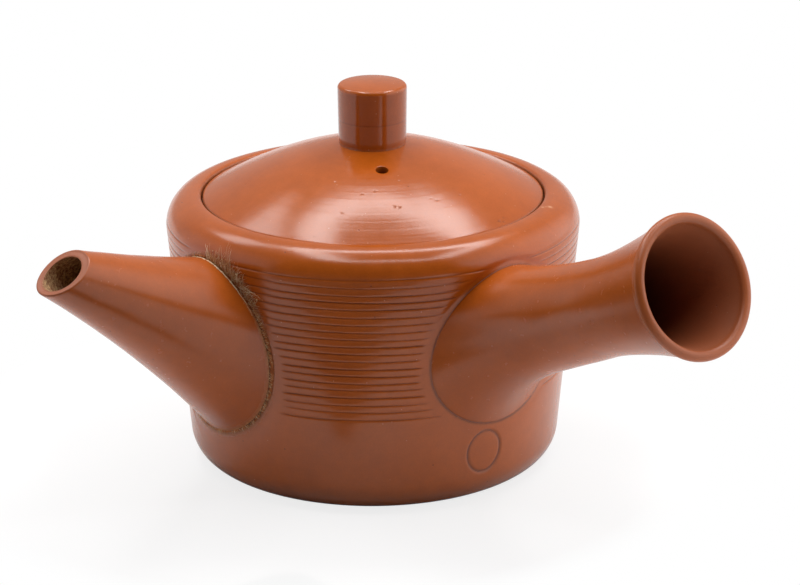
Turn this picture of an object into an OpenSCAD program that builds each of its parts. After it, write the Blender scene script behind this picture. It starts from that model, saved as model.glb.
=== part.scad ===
// Side-handled clay teapot (kyusu): a thrown round pot with a pouring spout, a hollow side
// handle, a pierced strainer behind the spout and a loose domed lid with a cylindrical knob.
// Millimetres. The origin is the centre of the base, +Z is up, and the handle points along +X.

/* [Body] */
// Widest diameter of the pot, at the shoulder
body_d = 95.4; // [85:0.1:110]
// Diameter of the pot just above its rounded foot
base_d = 86.1; // [76:0.1:92]
// Height of the pot from the table to the top of the shoulder
body_h = 63.4; // [56:0.1:75]
// Radius of the rounded shoulder
shoulder_r = 7; // [6.5:0.1:9]
// Radius of the rounded foot edge
foot_r = 7.6; // [6:0.1:10]
// Thickness of the thrown wall
wall = 3; // [2.4:0.1:4]
// Thickness of the floor
floor_t = 3.4; // [2.5:0.1:5]

/* [Lid seat] */
// Diameter of the recess that the lid drops into
seat_d = 79.2; // [76:0.1:80.4]
// Depth of the recess below the shoulder
seat_depth = 2.8; // [2:0.1:3.4]
// Radius of the rounded edge between the shoulder and the recess
rim_r = 0.9; // [0.4:0.1:1.4]
// Thickness of the ledge that carries the lid
ledge_t = 3; // [2.4:0.1:4]
// Diameter of the mouth inside the ledge
mouth_d = 70; // [64:0.5:72]

/* [Comb lines] */
// Number of comb lines round the wall
comb_count = 20; // [8:1:21]
// Distance of the highest comb line below the top of the shoulder
comb_drop = 6.4; // [5:0.1:9]
// Distance from one comb line to the next
comb_step = 1.72; // [1.4:0.01:1.8]
// Depth of a comb line
comb_depth = 0.4; // [0.2:0.05:0.6]
// Smooth margin between the comb lines and the spout or handle
comb_margin = 3.2; // [2:0.1:5]

/* [Spout] */
// Angle from the handle round to the spout's root, seen from above
spout_turn = 91.8; // [80:0.2:110]
// How far the spout is turned towards the handle from straight out
spout_skew = 8; // [0:0.1:12]
// Upward slope of the spout's axis
spout_rise = 28.4; // [24:0.2:32]
// Distance from the top of the shoulder down to where the spout's axis meets the wall
spout_drop = 23.5; // [21.5:0.1:25.5]
// Length of the spout along its axis, from the wall to the tip
spout_len = 48.9; // [42:0.1:56]
// Outside diameter of the spout's tip
spout_tip_d = 11.9; // [10:0.1:15]
// Outside diameter of the spout where its axis meets the wall
spout_root_d = 33.5; // [31:0.1:35]
// How far the spout's side is hollowed between tip and root
spout_hollow = 0.8; // [0:0.1:1.6]
// How much the tip is cut back from square, towards the top
spout_cut = 28; // [0:0.5:35]
// Wall of the spout at its tip
spout_tip_wall = 1.6; // [1.2:0.1:2]
// Wall of the spout at its root
spout_root_wall = 3; // [2:0.1:3.4]

/* [Strainer] */
// Diameter of the opening through the pot's wall behind the spout
strainer_bore_d = 24; // [18:0.5:26]
// How far the middle of the pierced dome lies below the spout's axis at the wall
strainer_drop = 4; // [3:0.1:7]
// Diameter of the pierced dome where it sits on the wall
strainer_d = 33; // [31:0.5:34]
// How far the pierced dome bulges into the pot
strainer_bulge = 9; // [6:0.5:11]
// Thickness of the pierced dome
strainer_t = 2; // [1.5:0.1:3]
// Diameter of one strainer hole
strainer_hole_d = 1.8; // [1:0.1:2.2]
// Number of rings of strainer holes round the middle one
strainer_rings = 4; // [2:1:4]
// Angle between two rings of strainer holes, seen from the dome's centre
strainer_ring_step = 8.6; // [7:0.1:9]

/* [Handle] */
// Upward slope of the handle's axis
handle_rise = 23.8; // [20:0.1:28]
// Distance from the top of the shoulder down to where the handle's axis meets the wall
handle_drop = 22; // [20.5:0.1:24.5]
// Length of the handle along its axis, from the wall to its end
handle_len = 65.2; // [56:0.1:76]
// Outside diameter of the handle's flared end
handle_end_d = 31.5; // [27:0.1:36]
// Outside diameter of the handle's narrowest place
handle_neck_d = 21.7; // [18:0.1:24]
// Distance of the narrowest place from the handle's end
handle_neck_at = 29.6; // [26:0.1:38]
// How sharply the handle flares to its end: 1 is a straight cone
handle_flare = 1.7; // [1.4:0.1:2.4]
// Distance from the handle's end to where it starts to widen towards the wall
handle_swell_at = 43.5; // [38.5:0.1:45]
// Outside diameter that the handle widens to at its root
handle_root_d = 38.5; // [35:0.1:40]
// Wall of the handle
handle_wall = 2.4; // [2:0.1:3.2]
// Thickness of the rounded lip at the handle's end
handle_lip_d = 2.4; // [2:0.1:3.2]
// How far the rounded lip stands out from the handle's side
handle_bead = 0.4; // [0.2:0.1:0.8]

/* [Luted seams] */
// Width of the slip seam round the spout and the handle
seam_w = 1.4; // [0.8:0.1:2]
// Height of the slip seam above the wall
seam_h = 0.7; // [0.3:0.1:1.2]

/* [Lid] */
// Gap between the lid's edge and its recess
lid_gap = 0.35; // [0.3:0.05:0.8]
// Height of the lid's edge above the ledge
lid_edge_h = 2.2; // [1.6:0.1:3.2]
// Height of the lid's crown above its edge
lid_crown = 12.8; // [9:0.1:16]
// How round the lid's dome is: 1 is a cone and 2 is a bowl
lid_round = 1.75; // [1.5:0.05:2.2]
// Thickness of the lid's dome
lid_t = 3; // [2.4:0.1:3.6]
// Gap between the lid's flange and the mouth
flange_gap = 0.7; // [0.4:0.1:1.2]
// Thickness of the lid's flange
flange_t = 2.6; // [2:0.1:3.4]
// Height of the lid's flange below the ledge
flange_h = 6; // [4:0.5:9]
// Diameter of the steam vent
vent_d = 2.9; // [2.4:0.1:4]
// Distance of the steam vent from the lid's middle
vent_at = 15.7; // [13:0.1:20]
// Angle from the handle round to the steam vent, seen from above
vent_turn = 31.6; // [0:0.2:90]

/* [Knob] */
// Diameter of the knob's top
knob_top_d = 15.9; // [13:0.1:20]
// Diameter of the knob's foot
knob_foot_d = 15.5; // [13:0.1:19]
// Height of the knob above the lid's crown
knob_h = 13.8; // [9:0.1:17]
// Radius of the knob's upper edge
knob_edge_r = 0.9; // [0.5:0.1:1.5]
// How much the knob's top is domed
knob_crown = 0.5; // [0.2:0.1:1]

/* [Hidden] */
$fn = 96;

clay = "#a95a35";
clay_dark = "#7e452b";
slip = "#8b5a3c";

// Segments in a quarter of a rounded edge, and along a spout or handle
arc_steps = 12;
side_steps = 24;
// Overlap that makes a cut run clear of a face
over = 1;
// Length by which the spout and handle run on into the pot before they are trimmed to its wall,
// which is more on a wall that leans more
root_depth = 16.4;
root_run = root_depth + (body_d - base_d) / 2;
// The handle is widest this far past the place where its axis meets the wall
swell_run = 13;
// A slanted root's outline on the wall, as shares of its radius: width, height and drop
root_wide = 1.1;
root_tall = 1.18;
root_drop = 0.2;

// Pot: two rounded edges joined by a straight leaning wall
foot_c = [base_d / 2 - foot_r, foot_r];
shoulder_c = [body_d / 2 - shoulder_r, body_h - shoulder_r];
edge_step = shoulder_c - foot_c;
wall_normal = atan2(edge_step[1], edge_step[0]) - acos((foot_r - shoulder_r) / norm(edge_step));
ledge_z = body_h - seat_depth;
ceiling_z = ledge_z - ledge_t;
// Heights of what is luted to the wall, measured down from the shoulder
spout_root_z = body_h - spout_drop;
handle_root_z = body_h - handle_drop;
strainer_z = spout_root_z - strainer_drop;

// Outside radius of the leaning wall at a height
function wall_r(z) = foot_c[0]
    + (foot_r - (z - foot_c[1]) * sin(wall_normal)) / cos(wall_normal);

// Outside radius of the spout at a distance from its tip
function spout_r(s) = let (u = s / spout_len)
    spout_tip_d / 2 + (spout_root_d - spout_tip_d) / 2 * u - 4 * spout_hollow * u * (1 - u);
function spout_bore_r(s) =
    spout_r(s) - spout_tip_wall - (spout_root_wall - spout_tip_wall) * s / spout_len;

// Outside radius of the handle at a distance from its end
handle_lip_r = handle_lip_d / 2;
function swell(u) = u * u * (3 - 2 * u);
function handle_r(s) = let (neck = handle_neck_d / 2)
    s < handle_neck_at
        ? neck + (handle_end_d / 2 - handle_bead - neck)
            * pow((handle_neck_at - s) / (handle_neck_at - handle_lip_r), handle_flare)
        : neck + (handle_root_d / 2 - neck)
            * swell(min(1, max(0, s - handle_swell_at) / (handle_len + swell_run - handle_swell_at)));

// Lid: a dome between its edge and its crown
lid_r = seat_d / 2 - lid_gap;
lid_edge_z = ledge_z + lid_edge_h;
function dome_h(r) = lid_crown * (1 - pow(r / lid_r, lid_round));
flange_r = mouth_d / 2 - flange_gap;
flange_in_r = flange_r - flange_t;
knob_top_z = lid_edge_z + lid_crown + knob_h;

// Strainer: a spherical cap on the inside of the wall, on the spout's side
wall_in_r = wall_r(strainer_z) - wall / cos(wall_normal);
strainer_r = (pow(strainer_d / 2, 2) + pow(strainer_bulge, 2)) / (2 * strainer_bulge);
strainer_at = wall_in_r - strainer_bulge + strainer_r;

// Points of an arc about a centre
function arc(c, r, from, to, steps = arc_steps) =
    [for (i = [0 : steps]) let (a = from + (to - from) * i / steps) c + r * [cos(a), sin(a)]];

// Half section of the pot's outline, moved out by grow
function pot_outline(grow) = concat(
    [[0, -grow]],
    arc(foot_c, foot_r + grow, -90, wall_normal),
    arc(shoulder_c, shoulder_r + grow, wall_normal, 90),
    [[0, body_h + grow]]);

// Half section of a spout or handle along its axis, given its radii from one distance to another
function side_outline(radii, from, to) =
    let (last = len(radii) - 1)
    concat(
        [[0, -from]],
        [for (i = [0 : last]) [radii[i], -from - (to - from) * i / last]],
        [[0, -to]]);

module pot_solid(grow = 0) {
    rotate_extrude() polygon(pot_outline(grow));
}

// Turns a piece that points up +Z at its own end to its place on the pot
module at_side(turn, skew, rise, root_z, length) {
    rotate([0, 0, -turn]) translate([wall_r(root_z), 0, root_z])
        rotate([0, 0, skew]) rotate([0, 90 - rise, 0]) translate([0, 0, length]) children();
}

module at_spout() {
    at_side(spout_turn, spout_skew, spout_rise, spout_root_z, spout_len) children();
}

module at_handle() {
    at_side(0, 0, handle_rise, handle_root_z, handle_len) children();
}

// Places a piece that points along +X at the strainer's own centre
module at_strainer() {
    rotate([0, 0, -spout_turn]) translate([strainer_at, 0, strainer_z]) children();
}

// Solid of the spout, with its outside moved out by grow; it starts ahead of the slanted tip
spout_from = -spout_tip_d / 2 * tan(spout_cut) - over;
spout_to = spout_len + root_run;
module spout_solid(grow = 0) {
    radii = [for (i = [0 : side_steps])
        spout_r(spout_from + (spout_to - spout_from) * i / side_steps) + grow];
    at_spout() rotate_extrude() polygon(side_outline(radii, spout_from, spout_to));
}

// Solid of the handle, with its outside moved out by grow
handle_to = handle_len + root_run;
module handle_solid(grow = 0) {
    radii = [for (i = [0 : side_steps])
        handle_r(handle_lip_r + (handle_to - handle_lip_r) * i / side_steps) + grow];
    at_handle() rotate_extrude() polygon(side_outline(radii, handle_lip_r, handle_to));
}

// Half angle, seen from the pot's axis, that a spout or handle and its margin take up at a height
function clear_angle(z, root_z, root_r) =
    let (half_w = root_r * root_wide + comb_margin)
    let (half_h = root_r * root_tall + comb_margin)
    let (share = (z - root_z + root_r * root_drop) / half_h)
    abs(share) < 1 ? asin(half_w * sqrt(1 - share * share) / wall_r(z)) : 0;

// One comb line: an arc cut into the wall from one bearing to another
module comb_arc(z, from, to) {
    rotate_extrude(angle = to - from, start = from)
        translate([wall_r(z), z]) circle(r = comb_depth, $fn = 4);
}

module comb_lines() {
    for (i = [0 : comb_count - 1]) {
        z = body_h - comb_drop - i * comb_step;
        spout_half = clear_angle(z, spout_root_z, spout_r(spout_len));
        handle_half = clear_angle(z, handle_root_z, handle_r(handle_len));
        comb_arc(z, -spout_turn + spout_half, -handle_half);
        comb_arc(z, handle_half, 360 - spout_turn - spout_half);
    }
}

// What is taken off to round the edge of the recess
module rim_edge() {
    translate([seat_d / 2, body_h - rim_r]) difference() {
        translate([-over, 0]) square(rim_r + over);
        translate([rim_r, 0]) circle(r = rim_r);
    }
}

// Half section of the pot: outline, hollow, mouth and lid recess
module pot_section() {
    difference() {
        polygon(pot_outline(0));
        intersection() {
            polygon(pot_outline(-wall));
            translate([0, floor_t]) square([body_d, ceiling_z - floor_t]);
        }
        translate([0, ceiling_z - over]) square([mouth_d / 2, body_h]);
        translate([0, ledge_z]) square([seat_d / 2, body_h]);
        rim_edge();
    }
}

module pot_body() {
    color(clay) difference() {
        rotate_extrude() pot_section();
        comb_lines();
        at_strainer() translate([-strainer_r, 0, 0]) rotate([0, 90, 0])
            cylinder(d = strainer_bore_d, h = 3 * wall + strainer_bulge);
    }
}

module spout() {
    from = spout_from - over;
    to = spout_to + over;
    bore = [for (i = [0 : side_steps]) spout_bore_r(from + (to - from) * i / side_steps)];
    cut = 4 * spout_tip_d;
    color(clay) difference() {
        spout_solid();
        at_spout() rotate_extrude() polygon(side_outline(bore, from, to));
        at_spout() rotate([0, -spout_cut, 0]) translate([-cut / 2, -cut / 2, 0]) cube(cut);
        pot_solid();
    }
}

module spout_seam() {
    color(slip) difference() {
        intersection() {
            spout_solid(seam_w);
            pot_solid(seam_h);
        }
        spout_solid();
        pot_solid();
    }
}

module handle() {
    to = handle_to + over;
    bore = [for (i = [0 : side_steps]) handle_r(to * i / side_steps) - handle_wall];
    color(clay) {
        difference() {
            handle_solid();
            at_handle() rotate_extrude() polygon(side_outline(bore, 0, to));
            pot_solid();
        }
        at_handle() rotate_extrude()
            translate([handle_end_d / 2 - handle_lip_r, -handle_lip_r]) circle(r = handle_lip_r);
    }
}

module handle_seam() {
    color(slip) difference() {
        intersection() {
            handle_solid(seam_w);
            pot_solid(seam_h);
        }
        handle_solid();
        pot_solid();
    }
}

// Spherical cap of a radius about the strainer's centre, kept to the inside of the pot
module strainer_cap(radius) {
    intersection() {
        at_strainer() sphere(r = radius);
        rotate_extrude() polygon(pot_outline(-wall));
    }
}

// Straight holes that fan out from the dome's centre in rings
module strainer_holes() {
    for (ring = [0 : strainer_rings], i = [0 : max(1, 6 * ring) - 1]) {
        at_strainer() rotate([360 * i / max(1, 6 * ring), 0, 0])
            rotate([0, 0, ring * strainer_ring_step]) rotate([0, -90, 0])
                translate([0, 0, strainer_r - 2 * strainer_t])
                    cylinder(d = strainer_hole_d, h = 3 * strainer_t);
    }
}

module strainer() {
    color(clay) difference() {
        strainer_cap(strainer_r);
        at_strainer() sphere(r = strainer_r - strainer_t);
        strainer_holes();
    }
}

module strainer_seam() {
    color(slip) difference() {
        intersection() {
            strainer_cap(strainer_r + seam_w);
            difference() {
                rotate_extrude() polygon(pot_outline(-wall));
                rotate_extrude() polygon(pot_outline(-wall - seam_h));
            }
        }
        at_strainer() sphere(r = strainer_r);
    }
}

// Solid under the lid's dome out to a radius, from a height up to the dome moved down by drop
module dome_solid(radius, from, drop = 0) {
    top = [for (i = [side_steps : -1 : 0]) let (r = radius * i / side_steps)
        [r, lid_edge_z + dome_h(r) - drop]];
    rotate_extrude() polygon(concat([[0, from], [radius, from]], top));
}

module lid_dome() {
    color(clay) difference() {
        dome_solid(lid_r, ledge_z);
        dome_solid(flange_in_r, ledge_z - over, lid_t);
        rotate([0, 0, -vent_turn]) translate([vent_at, 0, ledge_z])
            cylinder(d = vent_d, h = lid_edge_h + lid_crown + over);
    }
}

module lid_flange() {
    color(clay) translate([0, 0, ledge_z - flange_h]) difference() {
        cylinder(r = flange_r, h = flange_h);
        translate([0, 0, -over]) cylinder(r = flange_in_r, h = flange_h + 2 * over);
    }
}

// Half section of the knob, from its axis out to the rounded edge and down to its foot
function knob_outline() =
    let (top = knob_top_d / 2)
    let (crown_r = (pow(top - knob_edge_r, 2) + pow(knob_crown, 2)) / (2 * knob_crown))
    let (crown_half = asin((top - knob_edge_r) / crown_r))
    concat(
        [[0, lid_edge_z]],
        [[knob_foot_d / 2, lid_edge_z]],
        arc([top - knob_edge_r, knob_top_z - knob_crown - knob_edge_r], knob_edge_r, 0, 90),
        arc([0, knob_top_z - crown_r], crown_r, 90 - crown_half, 90));

module lid_knob() {
    color(clay_dark) difference() {
        rotate_extrude() polygon(knob_outline());
        dome_solid(lid_r, ledge_z);
    }
}

pot_body();
spout();
spout_seam();
strainer();
strainer_seam();
handle();
handle_seam();
lid_dome();
lid_flange();
lid_knob();
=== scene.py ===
from functools import partial
from math import acos, asin, atan2, cos, degrees, dist, hypot, pi, radians, sin, sqrt, tan

import bpy
import numpy as np
from mathutils import Matrix


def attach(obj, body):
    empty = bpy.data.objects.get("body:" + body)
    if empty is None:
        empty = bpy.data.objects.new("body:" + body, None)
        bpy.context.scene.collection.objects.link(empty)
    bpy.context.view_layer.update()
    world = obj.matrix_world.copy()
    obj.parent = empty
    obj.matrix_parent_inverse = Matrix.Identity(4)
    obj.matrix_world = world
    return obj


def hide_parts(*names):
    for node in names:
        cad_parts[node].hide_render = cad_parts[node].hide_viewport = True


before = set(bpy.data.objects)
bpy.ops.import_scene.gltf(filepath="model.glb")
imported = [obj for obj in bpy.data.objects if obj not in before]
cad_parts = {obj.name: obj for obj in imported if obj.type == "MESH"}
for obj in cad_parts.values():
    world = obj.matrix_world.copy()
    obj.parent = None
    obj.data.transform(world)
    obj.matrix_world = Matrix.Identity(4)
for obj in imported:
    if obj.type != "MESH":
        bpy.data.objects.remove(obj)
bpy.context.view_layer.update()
scene = bpy.context.scene

MM = 0.001
TAU = 2 * pi
rng = np.random.default_rng(41)

# Sizes of the pot in millimetres, as in the CAD model; FROM and TO are the ends of the cuts
FOOT_C, FOOT_R = (35.45, 7.6), 7.6
SHOULDER_C, SHOULDER_R = (40.7, 56.4), 7.0
BODY_H, WALL, FLOOR_T = 63.4, 3.0, 3.4
SEAT_R, RIM_R, LEDGE_Z, MOUTH_R, CEILING_Z = 39.6, 0.9, 60.6, 35.0, 57.6
STEP = (SHOULDER_C[0] - FOOT_C[0], SHOULDER_C[1] - FOOT_C[1])
WALL_NORMAL = atan2(STEP[1], STEP[0]) - acos((FOOT_R - SHOULDER_R) / hypot(*STEP))

SPOUT = {"turn": -91.8, "skew": 8.0, "rise": 28.4, "root_z": 39.9, "len": 48.9}
SPOUT_TIP_R, SPOUT_ROOT_R, SPOUT_HOLLOW, SPOUT_CUT = 5.95, 16.75, 0.8, 28.0
SPOUT_TIP_WALL, SPOUT_ROOT_WALL = 1.6, 3.0
HANDLE = {"turn": 0.0, "skew": 0.0, "rise": 23.8, "root_z": 41.4, "len": 65.2}
HANDLE_END_R, HANDLE_NECK_R, HANDLE_ROOT_R = 15.75, 10.85, 19.25
HANDLE_NECK_AT, HANDLE_SWELL_AT, HANDLE_SWELL_END = 29.6, 43.5, 78.2
HANDLE_WALL, HANDLE_LIP_R, HANDLE_BEAD, HANDLE_FLARE_POWER = 2.4, 1.2, 0.4, 1.7

LID_R, LID_EDGE_Z, LID_CROWN, LID_T, LID_ROUND = 39.25, 62.8, 12.8, 3.0, 1.75
FLANGE_R, FLANGE_T, FLANGE_H = 34.3, 2.6, 6.0
FLANGE_IN_R = FLANGE_R - FLANGE_T
VENT_R, VENT_AT, VENT_TURN, VENT_FROM, VENT_TO = 1.45, 15.7, -31.6, 58, 84
KNOB_TOP_R, KNOB_FOOT_R, KNOB_TOP_Z = 7.95, 7.75, 89.4
KNOB_EDGE_R, KNOB_CROWN = 0.9, 0.5
BORE_R, BORE_Z, BORE_FROM, BORE_TO = 12.0, 35.9, 34, 56


def axis_r(p, x=0, y=0):
    """Distance of points from the pot's axis, or from another upright line."""
    return np.hypot(p[:, 0] - x, p[:, 1] - y)


def wall_cone_r(z):
    """Radius of the leaning wall at a height, without the rounded edges."""
    return FOOT_C[0] + (FOOT_R - (z - FOOT_C[1]) * sin(WALL_NORMAL)) / cos(WALL_NORMAL)


def pot_r(z):
    """Outside radius of the pot at a height, rounded edges included."""
    z = np.asarray(z, float)
    low = FOOT_C[1] + FOOT_R * sin(WALL_NORMAL)
    high = SHOULDER_C[1] + SHOULDER_R * sin(WALL_NORMAL)
    foot = FOOT_C[0] + np.sqrt(np.clip(FOOT_R ** 2 - (z - FOOT_C[1]) ** 2, 0, None))
    top = SHOULDER_C[0] + np.sqrt(np.clip(SHOULDER_R ** 2 - (z - SHOULDER_C[1]) ** 2, 0, None))
    return np.where(z < low, foot, np.where(z > high, top, wall_cone_r(z)))


def pot_normal(p):
    """Outward direction of the pot's outside at points on it."""
    z = p[:, 2]
    nz = np.where(z > SHOULDER_C[1], (z - SHOULDER_C[1]) / SHOULDER_R,
                  np.where(z < FOOT_C[1], (z - FOOT_C[1]) / FOOT_R, sin(WALL_NORMAL)))
    nz = np.clip(nz, -1, 1)
    flat = p[:, :2] / np.maximum(axis_r(p), 1)[:, None]
    return np.column_stack([flat * np.sqrt(1 - nz ** 2)[:, None], nz])


def smooth(a, b, x):
    t = np.clip((np.asarray(x, float) - a) / (b - a), 0, 1)
    return t * t * (3 - 2 * t)


def bell(x, centre, width):
    return np.exp(-((np.asarray(x, float) - centre) / width) ** 2)


def circle(count):
    """Angles of points spread evenly round a ring."""
    return np.arange(count) * TAU / count


def unit(rows):
    return rows / np.linalg.norm(rows, axis=1)[:, None]


class Waves:
    """Smooth repeatable noise: a sum of waves of about one wavelength, in millimetres."""

    def __init__(self, wavelength, count=14, seed=0):
        r = np.random.default_rng(seed)
        k = unit(r.normal(size=(count, 3)))
        self.k = k * (TAU / wavelength) * r.uniform(0.7, 1.4, count)[:, None]
        self.phase = r.uniform(0, TAU, count)

    def __call__(self, p):
        return np.sin(np.asarray(p) @ self.k.T + self.phase).mean(-1) * 2.2


# Meshes

def new_object(name, data):
    obj = bpy.data.objects.new(name, data)
    scene.collection.objects.link(obj)
    return obj


def make_object(name, verts_mm, faces, body, replaced, material):
    mesh = bpy.data.meshes.new(name)
    mesh.from_pydata((np.asarray(verts_mm) * MM).tolist(), [], faces)
    mesh.validate()
    mesh.update()
    mesh.shade_smooth()
    mesh.materials.append(material)
    obj = new_object(name, mesh)
    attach(obj, body)
    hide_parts(replaced)
    return obj


def paint(obj, **values):
    """Writes one number per point for each named value that the materials read."""
    n = len(obj.data.vertices)
    for name, value in values.items():
        layer = obj.data.attributes.get(name) or obj.data.attributes.new(name, "FLOAT", "POINT")
        layer.data.foreach_set("value", np.broadcast_to(np.asarray(value, np.float32), (n,)).copy())


def points_mm(obj):
    co = np.zeros(len(obj.data.vertices) * 3, np.float32)
    obj.data.vertices.foreach_get("co", co)
    return co.reshape(-1, 3).astype(float) / MM


def move_points(obj, p):
    obj.data.vertices.foreach_set("co", (p * MM).astype(np.float32).ravel())
    obj.data.update()


def ring_faces(rows, columns, closed_rows=False):
    """Quads between neighbouring rings of points; each ring closes on itself."""
    count = rows if closed_rows else rows - 1
    i, j = np.meshgrid(np.arange(count), np.arange(columns), indexing="ij")
    i2, j2 = (i + 1) % rows, (j + 1) % columns
    quads = np.stack([i * columns + j, i * columns + j2, i2 * columns + j2, i2 * columns + j], -1)
    return quads.reshape(-1, 4).tolist()


def end_fans(rows, columns):
    """Triangles from the first and the last ring to two end points, which come after the rings' points."""
    low, high, tail = rows * columns, rows * columns + 1, (rows - 1) * columns
    pairs = [(j, (j + 1) % columns) for j in range(columns)]
    return [face for j, k in pairs for face in ([low, k, j], [high, tail + j, tail + k])]


def lathe(profile, columns, axis_ends=True):
    """Points and faces of a profile turned about Z; with axis_ends both of its ends are on the axis."""
    profile = np.asarray(profile, float)
    body = profile[1:-1] if axis_ends else profile
    a = circle(columns)
    r, z = body[:, 0][:, None], body[:, 1][:, None]
    verts = np.stack([r * np.cos(a), r * np.sin(a), z + 0 * a], -1).reshape(-1, 3)
    faces = ring_faces(len(body), columns, closed_rows=not axis_ends)
    if axis_ends:
        verts = np.vstack([verts, [[0, 0, profile[0, 1]], [0, 0, profile[-1, 1]]]])
        faces += end_fans(len(body), columns)
    return verts, faces


def on_arc(c, r, a):
    return (c[0] + r * cos(radians(a)), c[1] + r * sin(radians(a)))


def arc(c, r, a0, a1, steps):
    return [on_arc(c, r, a) for a in np.linspace(a0, a1, steps + 1)]


def line(p, q, step, ends=(False, False)):
    """Points between two places about a step apart; ends says whether each end is kept."""
    n = max(1, int(round(dist(p, q) / step)))
    t = np.linspace(0, 1, n + 1)
    t = t[0 if ends[0] else 1: None if ends[1] else -1]
    return [(p[0] + (q[0] - p[0]) * x, p[1] + (q[1] - p[1]) * x) for x in t]


SHARP = radians(60)


def boolean_cut(obj, cutter_verts, cutter_faces):
    """Cuts a closed shape out of a piece and keeps the result as its mesh."""
    mesh = bpy.data.meshes.new("cutter")
    mesh.from_pydata((np.asarray(cutter_verts) * MM).tolist(), [], cutter_faces)
    cutter = new_object("cutter", mesh)
    modifier = obj.modifiers.new("cut", "BOOLEAN")
    modifier.operation, modifier.object, modifier.solver = "DIFFERENCE", cutter, "EXACT"
    graph = bpy.context.evaluated_depsgraph_get()
    graph.update()
    result = bpy.data.meshes.new_from_object(obj.evaluated_get(graph))
    obj.modifiers.clear()
    old = obj.data
    obj.data = result
    bpy.data.meshes.remove(old)
    bpy.data.objects.remove(cutter)
    obj.data.shade_smooth()
    obj.data.set_sharp_from_angle(angle=SHARP)


def cylinder(p, q, radius, sides=96):
    """A closed cylinder between two points."""
    p, q = np.asarray(p, float), np.asarray(q, float)
    d = (q - p) / np.linalg.norm(q - p)
    u = np.cross(d, [0, 0, 1.0] if abs(d[2]) < 0.9 else [1.0, 0, 0])
    u /= np.linalg.norm(u)
    v = np.cross(d, u)
    a = circle(sides)
    ring = radius * (np.cos(a)[:, None] * u + np.sin(a)[:, None] * v)
    faces = ring_faces(2, sides) + [list(range(sides))[::-1], list(range(sides, 2 * sides))]
    return np.vstack([p + ring, q + ring]), faces


# The two side pieces: their own axes, radii and roots

def side_frame(s):
    """Tip point, axis, sideways and upward directions and length of the spout or handle."""
    a = radians(s["turn"])
    root_r = wall_cone_r(s["root_z"])
    root = np.array([root_r * cos(a), root_r * sin(a), s["root_z"]])
    b, e = radians(s["turn"] + s["skew"]), radians(s["rise"])
    axis = np.array([cos(e) * cos(b), cos(e) * sin(b), sin(e)])
    side = np.array([-sin(b), cos(b), 0.0])
    return root + s["len"] * axis, axis, side, np.cross(axis, side), s["len"]


def spout_r(s):
    u = np.asarray(s, float) / SPOUT["len"]
    return SPOUT_TIP_R + (SPOUT_ROOT_R - SPOUT_TIP_R) * u - 4 * SPOUT_HOLLOW * u * (1 - u)


def spout_bore_r(s):
    s = np.asarray(s, float)
    return spout_r(s) - SPOUT_TIP_WALL - (SPOUT_ROOT_WALL - SPOUT_TIP_WALL) * s / SPOUT["len"]


def handle_flare(s):
    """How far the handle spreads beyond its neck towards the open end."""
    run = np.clip((HANDLE_NECK_AT - np.asarray(s, float)) / (HANDLE_NECK_AT - HANDLE_LIP_R), 0, None)
    return (HANDLE_END_R - HANDLE_BEAD - HANDLE_NECK_R) * run ** HANDLE_FLARE_POWER


def handle_r(s):
    swell = (HANDLE_ROOT_R - HANDLE_NECK_R) * smooth(HANDLE_SWELL_AT, HANDLE_SWELL_END, s)
    return HANDLE_NECK_R + handle_flare(s) + swell


def handle_bore_r(s):
    return handle_r(s) - HANDLE_WALL


def side_point(s, angle, radius, where):
    tip, axis, side, up, _ = where
    s, angle, radius = np.broadcast_arrays(s, angle, radius)
    return (tip - s[..., None] * axis + (radius * np.cos(angle))[..., None] * side
            + (radius * np.sin(angle))[..., None] * up)


def root_distance(angle, radius_of, where, inset=0.0):
    """Distance back from the tip at which each line of a side piece reaches the pot's wall."""
    low, high = (np.full(len(angle), s) for s in (where[4] * ROOT_FROM, where[4] + ROOT_REACH))
    for _ in range(ROOT_HALVINGS):
        mid = (low + high) / 2
        p = side_point(mid, angle, radius_of(mid), where)
        outside = axis_r(p) > pot_r(p[:, 2]) - inset
        low, high = np.where(outside, mid, low), np.where(outside, high, mid)
    return (low + high) / 2


def side_coordinates(p, where):
    """Distance back from the tip, and direction out from the axis, of points in space."""
    tip, axis = where[:2]
    d = np.asarray(p) - tip
    s = -(d @ axis)
    return s, d + s[..., None] * axis


def clear_of(p, radius_of, where):
    """How far points on the pot's wall are outside a side piece; the far side of the pot is far away."""
    s, out = side_coordinates(p, where)
    reach = where[4] + ROOT_REACH
    gap = np.linalg.norm(out, axis=-1) - radius_of(np.clip(s, 0, reach))
    return np.where((s > 0) & (s < reach), gap, FAR)


def wall_gap(p):
    """How far points are outside the pot's wall, and 0 within it."""
    return np.clip(axis_r(p) - pot_r(p[:, 2]), 0, None)


ROOT_FROM, ROOT_REACH, ROOT_HALVINGS, FAR = 0.4, 19.0, 44, 99.0
SPOUT_AT, HANDLE_AT = side_frame(SPOUT), side_frame(HANDLE)


# Materials

def node(tree, kind, **values):
    """A shader node with values for its inputs and settings."""
    n = tree.nodes.new("ShaderNode" + kind)
    for key, value in values.items():
        if key in n.inputs:
            n.inputs[key].default_value = value
        else:
            setattr(n, key, value)
    return n


def link(a, b):
    a.id_data.links.new(a, b)


def feed(sockets, values):
    """Links each value that is an output to its socket, and writes the other values into theirs."""
    for socket, value in zip(sockets, values):
        if isinstance(value, bpy.types.NodeSocket):
            link(value, socket)
        else:
            socket.default_value = value


def math_node(op, a, b, clamp=False):
    """A sum, product or the like, of which a is an output."""
    n = node(a.id_data, "Math", operation=op, use_clamp=clamp)
    feed(n.inputs, (a, b))
    return n.outputs[0]


plus, times = partial(math_node, "ADD"), partial(math_node, "MULTIPLY")


def grey(v):
    return (v, v, v, 1)


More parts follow.
